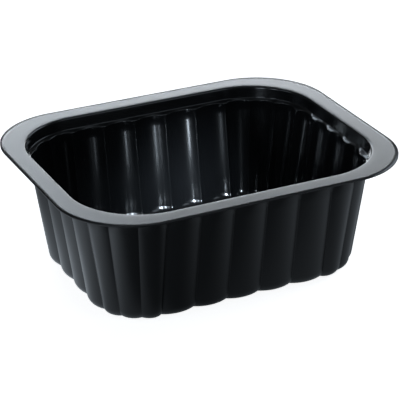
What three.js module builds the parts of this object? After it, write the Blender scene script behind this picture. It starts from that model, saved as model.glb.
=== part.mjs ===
// A plastic meal tray, formed in one piece from thin sheet: a deep drafted bowl with
// upright flutes round its wall, a stepped shoulder near the top and a flat sealing flange.
// Millimetres, +Z up. The origin is under the middle of the base, where the tray stands.
import * as THREE from 'three';

// Outline and sheet
const LENGTH = 187;
const WIDTH = 150;
const HEIGHT = 65;
const SHEET = 0.7;

// Flange and mouth
const FLANGE = 10.9;
const FLANGE_CORNER = 40;
const MOUTH_CORNER = 37;
const LIP_RADIUS = 1.3;

// Plain band under the lip, and the ledge where the wall steps in
const BAND_DEPTH = 6.5;
const BAND_DRAFT = 8;
const LEDGE_WIDTH = 3;
const LEDGE_DROP = 0.6;

// Wall, from the ledge to the base
const WALL_DRAFT = 8.2;
const WALL_CORNER = 34.2;
const BASE_RADIUS = 7;

// Flutes, pressed out of the wall as niches with arched heads. The long side has one in its
// middle and the short side has a ridge there. Ridges between corner flutes are lower. The
// ledge cuts the arches off, so that only this part of their height shows below it.
const FLUTE_DEPTH = 2.6;
const LONG_PITCH = 18.4;
const LONG_FLUTES = 5;
const SHORT_PITCH = 17.4;
const SHORT_FLUTES = 4;
const CORNER_FLUTES = 3;
const CORNER_REACH = 0.78;
const ARCH_HEIGHT = 10.5;
const ARCH_SHOWN = 0.6;

// Base: a flat ring to stand on, and a raised panel inside it
const FOOT_WIDTH = 7;
const PANEL_SLOPE = 2;
const PANEL_RISE = 1.2;

// Fineness of the faceted surface
const FLUTE_STEPS = [-1, -0.74, -0.4, 0, 0.4, 0.74];
const BASE_STEPS = 3;
const LIP_STEPS = 2;
const ARCH_RISES = [0, 0.4, 0.7, 0.88, 1];

const plastic = new THREE.MeshStandardMaterial({
  name: 'black_plastic',
  color: 0x15171a,
  roughness: 0.36,
  metalness: 0,
});

const bandSlope = Math.tan(THREE.MathUtils.degToRad(BAND_DRAFT));
const wallSlope = Math.tan(THREE.MathUtils.degToRad(WALL_DRAFT));

const ledgeInset = FLANGE + BAND_DEPTH * bandSlope + LEDGE_WIDTH;
const ledgeDepth = BAND_DEPTH + LEDGE_DROP;

// How far the food side of the wall lies in from the flange's edge, at a depth below the
// flange. The ridges between flutes stand on this line.
function wallInset(depth) {
  return ledgeInset + (depth - ledgeDepth) * wallSlope;
}

// Plan corner radius of the wall and base: all their corners turn about one upright line.
function wallCorner(inset) {
  return WALL_CORNER + ledgeInset - inset;
}

// The rounding between base and wall, drawn on the food side from the base up to the wall.
function baseRounding() {
  const radius = BASE_RADIUS - SHEET;
  const draft = THREE.MathUtils.degToRad(WALL_DRAFT);
  const centreZ = SHEET + radius;
  const touchZ = centreZ - radius * Math.sin(draft);
  const centreInset = wallInset(HEIGHT - touchZ) + radius * Math.cos(draft);
  const arc = new THREE.ArcCurve(centreInset, centreZ, radius, -Math.PI / 2, draft - Math.PI, true);
  return arc.getPoints(BASE_STEPS);
}

// The rounding from the band over to the flat of the flange, drawn upwards.
function lipRounding() {
  const draft = THREE.MathUtils.degToRad(BAND_DRAFT);
  const centreZ = HEIGHT - LIP_RADIUS;
  const touchInset = FLANGE + (LIP_RADIUS - LIP_RADIUS * Math.sin(draft)) * bandSlope;
  const centreInset = touchInset - LIP_RADIUS * Math.cos(draft);
  const arc = new THREE.ArcCurve(centreInset, centreZ, LIP_RADIUS, draft, Math.PI / 2, false);
  return arc.getPoints(LIP_STEPS);
}

// The food side of the tray in section, from the raised base panel to the flange's edge.
// Each row has its distance in from the flange's edge, its height and its plan corner
// radius. Its level says how far down the arched flute heads it is: 0 at their full height
// and above, 1 where the arches spring and below. Rows of a zone spread their points alike.
function foodSection() {
  const rows = [];
  const add = (zone, inset, z, corner, level) => rows.push({ zone, inset, z, corner, level });

  const rounding = baseRounding();
  const footInset = rounding[0].x + FOOT_WIDTH;
  const panelInset = footInset + PANEL_SLOPE;
  add('base', panelInset, SHEET + PANEL_RISE, wallCorner(panelInset), 0);
  add('base', footInset, SHEET, wallCorner(footInset), 0);
  for (const point of rounding) {
    add('base', point.x, point.y, wallCorner(point.x), 1);
  }
  for (const rise of ARCH_RISES) {
    const depth = ledgeDepth + ARCH_HEIGHT * ARCH_SHOWN * (1 - rise);
    const level = 1 - ARCH_SHOWN * rise;
    add('wall', wallInset(depth), HEIGHT - depth, wallCorner(wallInset(depth)), level);
  }
  add('mouth', FLANGE + BAND_DEPTH * bandSlope, HEIGHT - BAND_DEPTH, MOUTH_CORNER, 0);
  for (const point of lipRounding()) {
    add('mouth', point.x, point.y, MOUTH_CORNER + (FLANGE - point.x), 0);
  }
  add('mouth', 0, HEIGHT, FLANGE_CORNER, 0);
  return rows;
}

// The outside of the tray in section: every line of the food side moved out by the sheet,
// with each bend kept as thick as the flats beside it.
function outerSection(rows) {
  const sideways = (from, to) => {
    const along = new THREE.Vector2(to.inset - from.inset, to.z - from.z).normalize();
    return new THREE.Vector2(along.y, -along.x).negate();
  };
  return rows.map((row, i) => {
    const before = i > 0 ? sideways(rows[i - 1], row) : new THREE.Vector2(0, -1);
    const after = i < rows.length - 1 ? sideways(row, rows[i + 1]) : before;
    const move = before.clone().add(after).multiplyScalar(SHEET / (1 + before.dot(after)));
    return {
      ...row,
      inset: row.inset + move.x,
      z: row.z + move.y,
      corner: row.corner - move.x,
    };
  });
}

// Half lengths of a row's straight sides, and the distance round a quarter of it.
function outline(row) {
  const halfX = LENGTH / 2 - row.inset - row.corner;
  const halfY = WIDTH / 2 - row.inset - row.corner;
  const bend = row.corner * Math.PI / 2;
  return { halfX, halfY, bend, quarter: halfY + bend + halfX };
}

// Half of a straight side's columns, from its middle out to the end of its last flute. Each
// has its distance from the middle and its place across its flute: 0 in the flute's middle,
// 1 on the ridge. A side with an odd number of flutes has one of them in its middle.
function sideColumns(flutes, pitch) {
  const columns = [];
  for (let middle = flutes % 2 ? 0 : pitch / 2; middle < flutes * pitch / 2; middle += pitch) {
    for (const step of FLUTE_STEPS) {
      const distance = middle + step * pitch / 2;
      if (distance >= 0) columns.push({ distance, across: Math.abs(step) });
    }
  }
  return columns;
}

// The columns of a corner, which start on the short side's last ridge. Their distances are
// parts of the way to the long side's last ridge. A low ridge is a place short of 1.
function cornerColumns() {
  const columns = [];
  for (let flute = 0; flute < CORNER_FLUTES; flute++) {
    const before = flute === 0 ? 1 : CORNER_REACH;
    const after = flute === CORNER_FLUTES - 1 ? 1 : CORNER_REACH;
    for (const step of FLUTE_STEPS) {
      const part = (flute + (1 + step) / 2) / CORNER_FLUTES;
      columns.push({ part, across: step < 0 ? -step * before : step * after });
    }
  }
  return columns;
}

// The columns of a quarter of the wall, from the middle of the short side to the middle of
// the long one. Each finds its distance and its flute's half width on a row.
function quarterColumns() {
  const shortEnd = SHORT_PITCH * SHORT_FLUTES / 2;
  const longEnd = LONG_PITCH * LONG_FLUTES / 2;
  const short = sideColumns(SHORT_FLUTES, SHORT_PITCH).map(({ distance, across }) => (
    { at: () => distance, half: () => SHORT_PITCH / 2, across }));
  const corner = cornerColumns().map(({ part, across }) => (
    {
      at: (quarter) => THREE.MathUtils.lerp(shortEnd, quarter - longEnd, part),
      half: (quarter) => (quarter - longEnd - shortEnd) / CORNER_FLUTES / 2,
      across,
    }));
  const lastRidge = { distance: longEnd, across: 1 };
  const long = [...sideColumns(LONG_FLUTES, LONG_PITCH), lastRidge].map(({ distance, across }) => (
    { at: (quarter) => quarter - distance, half: () => LONG_PITCH / 2, across }));
  return [...short, ...corner, ...long.reverse()];
}

// Where a distance round the quarter falls: which stretch, and how far along it from 0 to 1.
function placeOn(line, distance) {
  if (distance <= line.halfY) return { stretch: 'short', part: distance / line.halfY };
  const onBend = distance - line.halfY;
  if (onBend <= line.bend) return { stretch: 'corner', part: onBend / line.bend };
  return { stretch: 'long', part: Math.min(1, (onBend - line.bend) / line.halfX) };
}

// A point of the row at a place, moved out from the row's line.
function pointOn(row, line, place, outward) {
  const reach = row.corner + outward;
  if (place.stretch === 'short') {
    return new THREE.Vector3(line.halfX + reach, line.halfY * place.part, row.z);
  }
  if (place.stretch === 'long') {
    return new THREE.Vector3(line.halfX * (1 - place.part), line.halfY + reach, row.z);
  }
  const angle = place.part * Math.PI / 2;
  return new THREE.Vector3(
    line.halfX + reach * Math.cos(angle), line.halfY + reach * Math.sin(angle), row.z);
}

// How far a flute stands out from the ridge line. Its section is a round arc, and its head
// a quarter of an ellipsoid on that arc, so the flute ends upwards in an arch.
function fluteBulge(half, across, level) {
  const radius = (half * half + FLUTE_DEPTH * FLUTE_DEPTH) / (2 * FLUTE_DEPTH);
  const away = Math.min(1, Math.hypot(across, 1 - level));
  return FLUTE_DEPTH - radius + Math.sqrt(radius * radius - (half * away) ** 2);
}

// One closed ring of points round the tray, for a row of the section.
function ringOf(row, guide, columns) {
  const line = outline(row);
  const guideLine = outline(guide);
  const quarter = columns.map((column) => {
    const place = placeOn(guideLine, column.at(guideLine.quarter));
    const bulge = fluteBulge(column.half(guideLine.quarter), column.across, row.level);
    return pointOn(row, line, place, bulge);
  });
  const back = quarter.slice(0, -1).reverse();
  const mirrored = (points, x, y) => points.map((p) => new THREE.Vector3(p.x * x, p.y * y, p.z));
  return [
    ...quarter,
    ...mirrored(back, -1, 1),
    ...mirrored(quarter.slice(1), -1, -1),
    ...mirrored(back.slice(0, -1), 1, -1),
  ];
}

// All rings of one side of the sheet. Rows of the base and of the mouth spread their points
// as the wall's own first and last rows do, so the facets run on without a twist.
function ringsOf(rows, columns) {
  const foot = rows.filter((row) => row.zone === 'base').pop();
  const ledge = rows.filter((row) => row.zone === 'wall').pop();
  const guides = { base: () => foot, wall: (row) => row, mouth: () => ledge };
  return rows.map((row) => ringOf(row, guides[row.zone](row), columns));
}

// A closed skin through a series of rings, with a point at each end. The rings run
// anticlockwise and start on the side that faces up.
function loft(rings, firstPole, lastPole) {
  const count = rings[0].length;
  const vertices = [firstPole, ...rings.flat(), lastPole];
  const positions = new Float32Array(vertices.flatMap((v) => [v.x, v.y, v.z]));
  const index = [];
  const at = (ring, j) => 1 + ring * count + (j % count);
  const last = vertices.length - 1;
  for (let j = 0; j < count; j++) {
    index.push(0, at(0, j), at(0, j + 1));
    index.push(at(rings.length - 1, j), last, at(rings.length - 1, j + 1));
  }
  for (let ring = 0; ring < rings.length - 1; ring++) {
    for (let j = 0; j < count; j++) {
      index.push(at(ring, j), at(ring + 1, j), at(ring + 1, j + 1));
      index.push(at(ring, j), at(ring + 1, j + 1), at(ring, j + 1));
    }
  }
  const geometry = new THREE.BufferGeometry();
  geometry.setAttribute('position', new THREE.BufferAttribute(positions, 3));
  geometry.setIndex(index);
  geometry.computeVertexNormals();
  return geometry;
}

// The whole tray: the food side out to the flange's edge, then back along the outside.
function trayGeometry() {
  const columns = quarterColumns();
  const food = foodSection();
  const outside = outerSection(food);
  const rings = [...ringsOf(food, columns), ...ringsOf(outside, columns).reverse()];
  const panelTop = new THREE.Vector3(0, 0, food[0].z);
  const panelUnder = new THREE.Vector3(0, 0, outside[0].z);
  return loft(rings, panelTop, panelUnder);
}

const tray = new THREE.Mesh(trayGeometry(), plastic);
tray.name = 'tray';

const mealTray = new THREE.Group();
mealTray.name = 'meal_tray';
mealTray.add(tray);

export default mealTray;
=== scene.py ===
"""A one-piece black plastic meal tray, as in the photograph.

Fluted walls and a flat flange in one thin sheet, on a white background.
"""
import math

import bpy
import numpy as np
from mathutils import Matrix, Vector

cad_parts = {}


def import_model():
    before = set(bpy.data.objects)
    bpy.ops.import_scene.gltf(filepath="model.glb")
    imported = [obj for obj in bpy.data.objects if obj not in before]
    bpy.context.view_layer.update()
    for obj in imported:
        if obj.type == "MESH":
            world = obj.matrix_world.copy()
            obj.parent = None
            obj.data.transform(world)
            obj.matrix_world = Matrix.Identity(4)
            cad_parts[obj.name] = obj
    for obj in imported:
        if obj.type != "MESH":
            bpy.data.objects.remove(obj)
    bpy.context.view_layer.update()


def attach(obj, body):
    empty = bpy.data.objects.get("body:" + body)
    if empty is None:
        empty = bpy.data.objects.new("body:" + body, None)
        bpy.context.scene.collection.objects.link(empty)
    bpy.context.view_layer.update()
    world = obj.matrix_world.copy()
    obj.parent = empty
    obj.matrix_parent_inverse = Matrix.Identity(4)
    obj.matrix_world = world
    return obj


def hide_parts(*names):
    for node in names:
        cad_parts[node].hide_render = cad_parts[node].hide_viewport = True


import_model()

MM = 0.001

# Outline, flange and sheet, in millimetres
LENGTH = 187.0
WIDTH = 150.0
HEIGHT = 65.0
SHEET = 0.7
FLANGE = 10.9
FLANGE_CORNER = 40.0
MOUTH_CORNER = 37.0
LIP_RADIUS = 1.3

# Band, ledge and wall
BAND_DEPTH = 6.5
BAND_DRAFT = 8.0
LEDGE_WIDTH = 3.0
LEDGE_DROP = 0.6
LEDGE_ROUND = 0.55
WALL_DRAFT = 8.2
WALL_CORNER = 34.2
BASE_RADIUS = 7.0
FOOT_WIDTH = 7.0
PANEL_SLOPE = 2.0
PANEL_RISE = 1.2
PANEL_BEND = 1.2
PANEL_FLAT = 6.0
FOOT_FROM = 4.2
FOOT_TO = 0.6

# Flutes
FLUTE_DEPTH = 2.6
LONG_PITCH = 18.4
LONG_FLUTES = 5
SHORT_PITCH = 17.4
SHORT_FLUTES = 4
CORNER_FLUTES = 3
CORNER_REACH = 0.78
ARCH_HEIGHT = 10.5
ARCH_SHOWN = 0.6
RIDGE_SOFT = 0.05
RIDGE_KEPT = 0.8

# Fineness of the shown surface
FLUTE_COLUMNS = 16
ARCH_ROWS = 26
WALL_ROWS = 14

# Section zones
BASE_ZONE, ROLL_ZONE, WALL_ZONE, MOUTH_ZONE = range(4)


def band_slope():
    """How far the band leans in for each millimetre down."""
    return math.tan(math.radians(BAND_DRAFT))


def wall_slope():
    """How far the wall leans in for each millimetre down."""
    return math.tan(math.radians(WALL_DRAFT))


LEDGE_INSET = FLANGE + BAND_DEPTH * band_slope() + LEDGE_WIDTH
LEDGE_DEPTH = BAND_DEPTH + LEDGE_DROP


def arc(centre, radius, start, end, count):
    """Points of a circle's arc: centre + radius (cos t, sin t), t in degrees from start to end."""
    t = np.radians(np.linspace(start, end, count))
    return np.stack([centre[0] + radius * np.cos(t), centre[1] + radius * np.sin(t)], axis=1)


def rounded(before, corner, after, radius, count):
    """A bend between two straight stretches, as the circle's arc that touches both.

    The arc's ends lie radius * tan(half the turn) from the corner, and its middle on the bisector.
    """
    a = (before - corner) / np.linalg.norm(before - corner)
    b = (after - corner) / np.linalg.norm(after - corner)
    half = 0.5 * math.acos(float(np.clip(a @ b, -1, 1)))
    reach = radius / math.tan(half)
    middle = (a + b) / np.linalg.norm(a + b)
    centre = corner + middle * radius / math.sin(half)
    first = corner + a * reach - centre
    last = corner + b * reach - centre
    turn = math.pi - 2 * half
    t = np.linspace(0, 1, count)[:, None]
    return centre + (np.sin((1 - t) * turn) * first + np.sin(t * turn) * last) / math.sin(turn)


def wall_inset(depth):
    """Ridge line of the wall: the ledge's inset plus the draft's slope times the depth below it."""
    return LEDGE_INSET + (depth - LEDGE_DEPTH) * wall_slope()


def food_section():
    """The food side in section, from the raised panel to the flange's edge.

    Columns: inset from the flange's edge, height, plan corner radius, arch level, zone.
    The wall is a straight drafted line, its arch rows closer together where the heads bend most.
    """
    rows = []

    def add(points, corner, level, zone):
        for inset, height in np.atleast_2d(points):
            rows.append([inset, height, corner(inset), level(HEIGHT - height), zone])

    def upright(inset):
        return WALL_CORNER + LEDGE_INSET - inset

    def mouth(inset):
        return MOUTH_CORNER + FLANGE - inset

    def plain(depth):
        return 0.0

    def fluted(depth):
        return 1.0

    def on_arch(depth):
        return min(1.0, 1 - ARCH_SHOWN + (depth - LEDGE_DEPTH) / ARCH_HEIGHT)

    # Panel, foot ring and rolled foot
    radius = BASE_RADIUS - SHEET
    centre_z = SHEET + radius
    lean = math.radians(WALL_DRAFT)
    touch_z = centre_z - radius * math.sin(lean)
    centre = (wall_inset(HEIGHT - touch_z) + radius * math.cos(lean), centre_z)
    foot = np.array([centre[0] + FOOT_WIDTH, SHEET])
    panel = np.array([foot[0] + PANEL_SLOPE, SHEET + PANEL_RISE])
    inner = panel + np.array([PANEL_FLAT, 0.0])
    roll_start = np.array([centre[0], SHEET])
    ring = np.linspace([centre[0] + FOOT_FROM, SHEET], [centre[0] + FOOT_TO, SHEET], 4)
    add(inner, upright, plain, BASE_ZONE)
    add(rounded(inner, panel, foot, PANEL_BEND, 5), upright, plain, BASE_ZONE)
    add(rounded(panel, foot, roll_start, PANEL_BEND, 5), upright, plain, BASE_ZONE)
    add(ring, upright, plain, BASE_ZONE)
    add(arc(centre, radius, -90, WALL_DRAFT - 180, 12), upright, fluted, ROLL_ZONE)

    # Wall up to the flutes' heads, the heads, and the ledge that cuts them off
    spring = LEDGE_DEPTH + ARCH_HEIGHT * ARCH_SHOWN
    depths = np.linspace(HEIGHT - touch_z, spring, WALL_ROWS)[1:-1]
    add(np.stack([wall_inset(depths), HEIGHT - depths], axis=1), upright, fluted, WALL_ZONE)
    ledge_corner = np.array([LEDGE_INSET, HEIGHT - LEDGE_DEPTH])
    band_foot = np.array([FLANGE + BAND_DEPTH * band_slope(), HEIGHT - BAND_DEPTH])
    lip_corner = np.array([FLANGE, HEIGHT])
    below = np.array([wall_inset(spring), HEIGHT - spring])
    bend = rounded(below, ledge_corner, band_foot, LEDGE_ROUND, 7)
    heads = np.linspace(spring, HEIGHT - bend[0][1], ARCH_ROWS)[:-1]
    add(np.stack([wall_inset(heads), HEIGHT - heads], axis=1), upright, on_arch, WALL_ZONE)
    add(bend, upright, on_arch, WALL_ZONE)

    # Band, rolled lip and flat flange
    add(rounded(ledge_corner, band_foot, lip_corner, LEDGE_ROUND, 7), mouth, plain, MOUTH_ZONE)
    flat_end = np.array([0.0, HEIGHT])
    add(rounded(band_foot, lip_corner, flat_end, LIP_RADIUS, 9), mouth, plain, MOUTH_ZONE)
    last = rows[-1]
    for part in (0.2, 0.4, 0.6, 0.8, 1.0):
        inset = last[0] * (1 - part)
        corner = last[2] + (FLANGE_CORNER - last[2]) * part
        rows.append([inset, HEIGHT, corner, 0.0, MOUTH_ZONE])
    return np.array(rows)


def outer_section(rows):
    """The outside: each point moved by the sheet's thickness along the section's mitred normal."""
    line = rows[:, :2]
    along = np.diff(line, axis=0)
    along /= np.linalg.norm(along, axis=1)[:, None]
    side = np.stack([-along[:, 1], along[:, 0]], axis=1)
    before = np.vstack([side[:1], side])
    after = np.vstack([side, side[-1:]])
    move = SHEET * (before + after) / (1 + np.sum(before * after, axis=1))[:, None]
    out = rows.copy()
    out[:, :2] += move
    out[:, 2] -= move[:, 0]
    return out


def flute_places():
    """Places across a flute, from -1 at one ridge up to the other, which is left out.

    They are sin(u pi / 2) for evenly spaced u from -1 to 1, so they crowd at the ridges.
    """
    return np.sin((np.arange(FLUTE_COLUMNS) * 2 / FLUTE_COLUMNS - 1) * math.pi / 2)


def side_columns(flutes, pitch):
    """Half of a straight side: distances from its middle, and places across the flutes there."""
    middles = np.arange(0 if flutes % 2 else 0.5, flutes / 2, 1.0)
    distance = (middles[:, None] + flute_places()[None] / 2).ravel() * pitch
    across = np.abs(np.tile(flute_places(), len(middles)))
    kept = distance > -1e-9
    return np.abs(distance[kept]), across[kept]


def quarter_columns():
    """Columns of a quarter of the outline, from the middle of a short side to that of a long one.

    Returns for each column the fixed part and the share of the quarter's length that place it,
    its place across the flute, and its stretch: 0 short side, 1 corner, 2 long side.
    """
    short_end = SHORT_PITCH * SHORT_FLUTES / 2
    long_end = LONG_PITCH * LONG_FLUTES / 2
    d_short, a_short = side_columns(SHORT_FLUTES, SHORT_PITCH)
    d_long, a_long = side_columns(LONG_FLUTES, LONG_PITCH)
    d_long = np.append(d_long, long_end)[::-1]
    a_long = np.append(a_long, 1.0)[::-1]
    flute = np.repeat(np.arange(CORNER_FLUTES), FLUTE_COLUMNS)
    across = np.tile(flute_places(), CORNER_FLUTES)
    part = (flute + (1 + across) / 2) / CORNER_FLUTES
    low = ((across < 0) & (flute > 0)) | ((across >= 0) & (flute < CORNER_FLUTES - 1))
    a_corner = np.abs(across) * np.where(low, CORNER_REACH, 1.0)
    fixed = np.concatenate([d_short, short_end * (1 - part) - long_end * part, -d_long])
    share = np.concatenate([np.zeros_like(d_short), part, np.ones_like(d_long)])
    across = np.concatenate([a_short, a_corner, a_long])
    kind = np.concatenate([np.zeros(len(d_short)), np.ones(len(part)), np.full(len(d_long), 2)])
    return fixed, share, across, kind


def smooth_ridge(across):
    """Rounds the crease on a ridge, where the place across x comes near 1.

    Past 1 - s, x turns into 1 - s + k s sin(pi (x - 1 + s) / 2 s), where s is the soft share
    and k the part of it that is kept.
    """
    start = 1 - RIDGE_SOFT
    turn = np.clip((across - start) / RIDGE_SOFT, 0, 1) * math.pi / 2
    return np.where(across > start, start + RIDGE_KEPT * RIDGE_SOFT * np.sin(turn), across)


def surface_points(rows, guides):
    """Points of the sheet's side, one row of points for each row of the section.

    A column's distance round its guide row gives a point on a rounded rectangle. The row's
    point there is moved out by the flute: depth - R + sqrt(R^2 - (w r)^2), where w is the
    flute's half width and r the distance from its head's middle, held at 1.
    """
    fixed, share, across, kind = quarter_columns()
    out = np.zeros((len(rows), 4 * (len(fixed) - 1), 3))
    long_end = LONG_PITCH * LONG_FLUTES / 2
    short_end = SHORT_PITCH * SHORT_FLUTES / 2
    across = smooth_ridge(across)
    for i, (row, guide) in enumerate(zip(rows, guides)):
        g_x = LENGTH / 2 - guide[0] - guide[2]
        g_y = WIDTH / 2 - guide[0] - guide[2]
        g_bend = guide[2] * math.pi / 2
        quarter = g_x + g_y + g_bend
        at = fixed + share * quarter
        corner_half = (quarter - long_end - short_end) / CORNER_FLUTES / 2
        half = np.choose(kind.astype(int), [SHORT_PITCH / 2, corner_half, LONG_PITCH / 2])
        radius = (half ** 2 + FLUTE_DEPTH ** 2) / (2 * FLUTE_DEPTH)
        away = np.minimum(1.0, np.hypot(across, 1 - row[3]))
        bulge = FLUTE_DEPTH - radius + np.sqrt(radius ** 2 - (half * away) ** 2)
        turn = np.clip((at - g_y) / g_bend, 0, 1) * math.pi / 2
        half_x = LENGTH / 2 - row[0] - row[2]
        half_y = WIDTH / 2 - row[0] - row[2]
        reach = row[2] + bulge
        x = half_x * np.clip((quarter - at) / g_x, 0, 1) + reach * np.cos(turn)
        y = half_y * np.clip(at / g_y, 0, 1) + reach * np.sin(turn)
        x[-1] = 0.0
        ring = np.concatenate([
            np.stack([x, y], 1),
            np.stack([-x, y], 1)[::-1][1:],
            np.stack([-x, -y], 1)[1:],
            np.stack([x, -y], 1)[::-1][1:-1],
        ])
        out[i, :, :2] = ring
        out[i, :, 2] = row[1]
    return out


def guide_rows(rows):
    """Rows whose outline spreads the points: the wall's foot below it, the ledge above it."""
    zone = rows[:, 4]
    guides = rows.copy()
    guides[zone <= ROLL_ZONE] = rows[zone == ROLL_ZONE][-1]
    guides[zone == MOUTH_ZONE] = rows[zone == WALL_ZONE][-1]
    return guides


def build_mesh(name, rings, first_pole, last_pole):
    """A closed skin: quads between following rings, wrapped round, and a fan at each pole."""
    count = rings.shape[1]
    rows = rings.shape[0]
    vertices = np.vstack([first_pole[None], rings.reshape(-1, 3), last_pole[None]]) * MM
    i = np.arange(rows - 1)[:, None]
    j = np.arange(count)[None, :]
    a = 1 + i * count + j
    b = 1 + (i + 1) * count + j
    c = 1 + (i + 1) * count + (j + 1) % count
    d = 1 + i * count + (j + 1) % count
    quads = np.stack([a, b, c, d], axis=-1).reshape(-1, 4)
    j = np.arange(count)
    last = len(vertices) - 1
    start = 1 + (rows - 1) * count
    fans = np.vstack([
        np.stack([np.zeros(count, int), 1 + j, 1 + (j + 1) % count], 1),
        np.stack([start + j, np.full(count, last), start + (j + 1) % count], 1),
    ])
    mesh = bpy.data.meshes.new(name)
    mesh.from_pydata(vertices.tolist(), [], quads.tolist() + fans.tolist())
    mesh.validate()
    mesh.shade_smooth()
    mesh.update()
    obj = bpy.data.objects.new(name, mesh)
    bpy.context.scene.collection.objects.link(obj)
    return obj


def build_tray():
    """The whole tray: food side out to the flange's edge, the edge, and the outside back down.

    The gloss attribute is 1 on the food side, 0.2 on the flange and 0 outside.
    """
    food = food_section()
    outside = outer_section(food)
    food_rings = surface_points(food, guide_rows(food))
    outer_rings = surface_points(outside, guide_rows(outside))[::-1]
    rings = np.concatenate([food_rings, outer_rings])
    rings[..., 2] = np.clip(rings[..., 2], 0, HEIGHT)
    top = np.array([0, 0, food[0][1]])
    under = np.array([0, 0, outside[0][1]])
    obj = build_mesh("tray_skin", rings, top, under)
    inside = np.where(food[:, 0] > FLANGE - 0.2, 1.0, 0.2)
    gloss = np.concatenate([inside, np.zeros(len(outside))])
    values = np.concatenate([[1.0], np.repeat(gloss, rings.shape[1]), [0.0]])
    attribute = obj.data.attributes.new("gloss", "FLOAT", "POINT")
    attribute.data.foreach_set("value", values.astype(np.float32))
    return obj


class Socket:
    """One output of a shader node, with arithmetic that adds the math nodes for it."""

    def __init__(self, tree, out):
        self.tree = tree
        self.out = out

    def _math(self, kind, other=None, swap=False):
        node = self.tree.nodes.new("ShaderNodeMath")
        node.operation = kind
        pair = [self, other] if not swap else [other, self]
        for slot, value in enumerate(pair):
            if value is None:
                continue
            if isinstance(value, Socket):
                self.tree.links.new(value.out, node.inputs[slot])
            else:
                node.inputs[slot].default_value = value
        return Socket(self.tree, node.outputs[0])

    def __add__(self, other):
        return self._math("ADD", other)

    __radd__ = __add__

    def __mul__(self, other):
        return self._math("MULTIPLY", other)

    __rmul__ = __mul__

    def __sub__(self, other):
        return self._math("SUBTRACT", other)

    def __rsub__(self, other):
        return self._math("SUBTRACT", other, swap=True)

    def clamp(self):
        node = self.tree.nodes.new("ShaderNodeClamp")
        self.tree.links.new(self.out, node.inputs[0])
        return Socket(self.tree, node.outputs[0])


class Material:
    """A material with its node tree, and one method that adds any node."""

    def __init__(self, name):
        self.material = bpy.data.materials.new(name)
        self.material.use_nodes = True
        self.tree = self.material.node_tree
        self.tree.nodes.clear()

    def node(self, kind, inputs=None, output=0, **settings):
        item = self.tree.nodes.new(kind)
        for key, value in settings.items():
            setattr(item, key, value)
        for key, value in (inputs or {}).items():
            if isinstance(value, Socket):
                self.tree.links.new(value.out, item.inputs[key])
            else:
                item.inputs[key].default_value = value
        return Socket(self.tree, item.outputs[output])

    def finish(self, shader):
        out = self.tree.nodes.new("ShaderNodeOutputMaterial")
        self.tree.links.new(shader.out, out.inputs["Surface"])
        return self.material


def black_plastic():
    """Formed black sheet: near-black, glossy inside, satin outside, with a fine haze and ripple."""
    m = Material("black_plastic")
    place = m.node("ShaderNodeTexCoord", output="Object")

    def noise(scale, **more):
        return m.node("ShaderNodeTexNoise", {"Vector": place, "Scale": scale, **more}, "Fac")

    fine = noise(900.0, Detail=3.0, Roughness=0.6)
    cloud = noise(38.0, Detail=3.0, Roughness=0.55)
    ripple = noise(14.0, Detail=1.0)
    gloss = m.node("ShaderNodeAttribute", output="Fac", attribute_name="gloss")
    rough = (cloud * 0.06 + fine * 0.05 + 0.29 - gloss * 0.2).clamp()
    tint = (cloud * 0.5 + fine * 0.3).clamp()
    dark = (0.0035, 0.0038, 0.0042, 1)
    light = (0.0062, 0.0066, 0.0072, 1)
    colour = m.node("ShaderNodeMix", {"Factor": tint, "A": dark, "B": light}, "Result",
                    data_type="RGBA")
    height = fine * (0.16 - gloss * 0.14) + ripple * 0.3
    relief = {"Height": height, "Strength": 0.14, "Distance": 0.0002}
    bump = m.node("ShaderNodeBump", relief, "Normal")
    shader = m.node("ShaderNodeBsdfPrincipled", {
        "Base Color": colour, "Roughness": rough, "Normal": bump,
        "IOR": 1.5, "Metallic": 0.0}, "BSDF")
    return m.finish(shader)


COOL = (0.76, 0.88, 1.0)
NEUTRAL = (0.88, 0.94, 1.0)


def area_light(name, place, target, size, power, colour=COOL, spread=180):
    """A flat rectangular lamp at place, facing target. size is width and height in metres."""
    lamp = bpy.data.lights.new(name, "AREA")
    lamp.shape = "RECTANGLE"
    lamp.size, lamp.size_y = size
    lamp.energy = power
    lamp.spread = math.radians(spread)
    lamp.color = colour
    obj = bpy.data.objects.new(name, lamp)
    obj.location = place
    facing = Vector(target) - Vector(place)
    obj.rotation_euler = facing.to_track_quat("-Z", "Y").to_euler()
    obj.visible_camera = False
    bpy.context.scene.collection.objects.link(obj)
    return obj


def direction(round_by, up_by):
    """Unit vector, round_by degrees clockwise from +Y and up_by degrees above the floor."""
    a, e = math.radians(round_by), math.radians(up_by)
    return Vector((math.sin(a) * math.cos(e), math.cos(a) * math.cos(e), math.sin(e)))


def studio_lamp(name, round_by, up_by, distance, size, power, colour=COOL):
    """A soft lamp round the tray, at a distance in metres, that faces the tray's middle."""
    place = direction(round_by, up_by) * distance
    return area_light(name, place, (0, 0, 0.04), size, power, colour)


def camera():
    """The photograph's camera: long lens, 25.5 degrees up and 26.8 degrees round to the left."""
    back = direction(180 + 26.81, 25.48)
    target = Vector((-0.016, -0.063, HEIGHT * MM))
    data = bpy.data.cameras.new("camera")
    data.sensor_width = 36.0
    data.lens = 162.2
    data.shift_x = -0.063
    data.shift_y = -0.006
    data.clip_start = 0.01
    obj = bpy.data.objects.new("camera", data)
    obj.location = target + back * 0.880
    obj.rotation_euler = back.to_track_quat("Z", "Y").to_euler()
    bpy.context.scene.collection.objects.link(obj)
    bpy.context.scene.camera = obj


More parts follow.
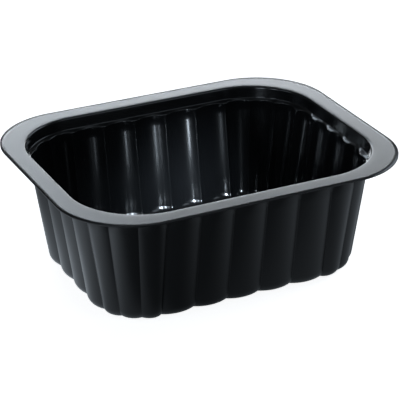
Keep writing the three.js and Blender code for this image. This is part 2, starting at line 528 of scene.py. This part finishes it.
def world():
    """White where the camera looks straight at it, grey for everything else."""
    scene_world = bpy.data.worlds.new("world")
    bpy.context.scene.world = scene_world
    scene_world.use_nodes = True
    tree = scene_world.node_tree
    tree.nodes.clear()
    rays = tree.nodes.new("ShaderNodeLightPath")
    seen = tree.nodes.new("ShaderNodeBackground")
    seen.inputs["Color"].default_value = (1, 1, 1, 1)
    other = tree.nodes.new("ShaderNodeBackground")
    other.inputs["Color"].default_value = (0.9, 0.95, 1, 1)
    other.inputs["Strength"].default_value = 0.08
    mix = tree.nodes.new("ShaderNodeMixShader")
    out = tree.nodes.new("ShaderNodeOutputWorld")
    tree.links.new(rays.outputs["Is Camera Ray"], mix.inputs[0])
    tree.links.new(other.outputs[0], mix.inputs[1])
    tree.links.new(seen.outputs[0], mix.inputs[2])
    tree.links.new(mix.outputs[0], out.inputs["Surface"])


def floor():
    """A white floor just under the tray, clear from below.

    The lens sees it white with the tray's shadow. What the tray mirrors of it is a glow of painted
    light: bright close behind, dimmer far behind, dark in front as painted shade, and a little
    lighter towards the right.
    """
    mesh = bpy.data.meshes.new("floor")
    s, z = 3.0, -0.0002
    mesh.from_pydata([(-s, -s, z), (s, -s, z), (s, s, z), (-s, s, z)], [], [(0, 1, 2, 3)])
    obj = bpy.data.objects.new("floor", mesh)
    bpy.context.scene.collection.objects.link(obj)
    m = Material("floor_white")
    place = m.node("ShaderNodeTexCoord", output="Object")
    x = m.node("ShaderNodeSeparateXYZ", {"Vector": place}, "X")
    y = m.node("ShaderNodeSeparateXYZ", {"Vector": place}, "Y")
    # Painted light and shade for reflected rays: the floor's glow is bright behind the tray and
    # dark in front
    back = y * 0.9 - x * 0.45
    behind = (back * 14.0 + 0.55).clamp()
    far = (back * 14.0 - 0.9).clamp()
    right = ((x * 0.9 + y * 0.45) * 8.0 + 0.5).clamp()
    light = behind * 0.9 - far * 0.7 + right * 0.34 + 0.07
    tint = m.node("ShaderNodeMix", {"Factor": light, "A": (0, 0, 0, 1), "B": (0.80, 0.90, 1.0, 1)},
                  "Result", data_type="RGBA")
    # Glow seen by every ray but the lens's: a painted reflection of lit and shaded floor, not a
    # lamp
    painted_reflection_glow = m.node("ShaderNodeEmission", {"Color": tint, "Strength": 1.0}, "Emission")
    paper = m.node("ShaderNodeBsdfDiffuse", {"Color": (0.9, 0.9, 0.9, 1)}, "BSDF")
    glow = m.node("ShaderNodeEmission", {"Color": (1, 1, 1, 1), "Strength": 0.86}, "Emission")
    seen = m.node("ShaderNodeAddShader", {0: paper, 1: glow}, "Shader")
    ray = m.node("ShaderNodeLightPath", output="Is Camera Ray")
    above = m.node("ShaderNodeMixShader", {0: ray, 1: painted_reflection_glow, 2: seen}, "Shader")
    clear = m.node("ShaderNodeBsdfTransparent", output="BSDF")
    below = m.node("ShaderNodeNewGeometry", output="Backfacing")
    both = m.node("ShaderNodeMixShader", {0: below, 1: above, 2: clear}, "Shader")
    mesh.materials.append(m.finish(both))
    return obj


def studio():
    """Soft lamps: a low panel behind for the flange, weak fills round the tray, small ones inside.

    The small ones hide behind the near wall and give the far wall's flutes their upright glints.
    """
    studio_lamp("back_panel", 20, 18.2, 1.5, (1.3, 0.14), 9.6, NEUTRAL)
    studio_lamp("back_up", 14, 35, 1.5, (0.25, 0.3), 1.0)
    studio_lamp("back_right", 75, 22, 1.5, (0.7, 0.5), 2.1)
    studio_lamp("left_front", 246, 16, 1.2, (0.2, 0.3), 1.2)
    studio_lamp("right", 90, 35, 1.2, (0.4, 0.4), 1.6)
    studio_lamp("front_left", 222, 12, 1.2, (0.25, 0.2), 2.0)
    studio_lamp("left", 270, 25, 1.2, (0.4, 0.4), 0.9)
    studio_lamp("front_right", 150, 35, 1.2, (0.4, 0.4), 0.8)
    studio_lamp("top", 0, 89, 1.2, (0.8, 0.8), 1.0)
    glint_size, glint_spread = (0.006, 0.036), 44
    glints = (("glint_left", -0.040, 0.0015), ("glint_middle", -0.020, 0.005),
              ("glint_right", 0.008, 0.020))
    for name, x, power in glints:
        place, target = (x, -0.050, 0.038), (x + 0.014, 0.08, 0.006)
        area_light(name, place, target, glint_size, power, spread=glint_spread)


tray = build_tray()
tray.data.materials.append(black_plastic())
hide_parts("tray")
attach(tray, "root")

floor()
world()
camera()
studio()

bpy.context.scene.view_settings.view_transform = "Standard"
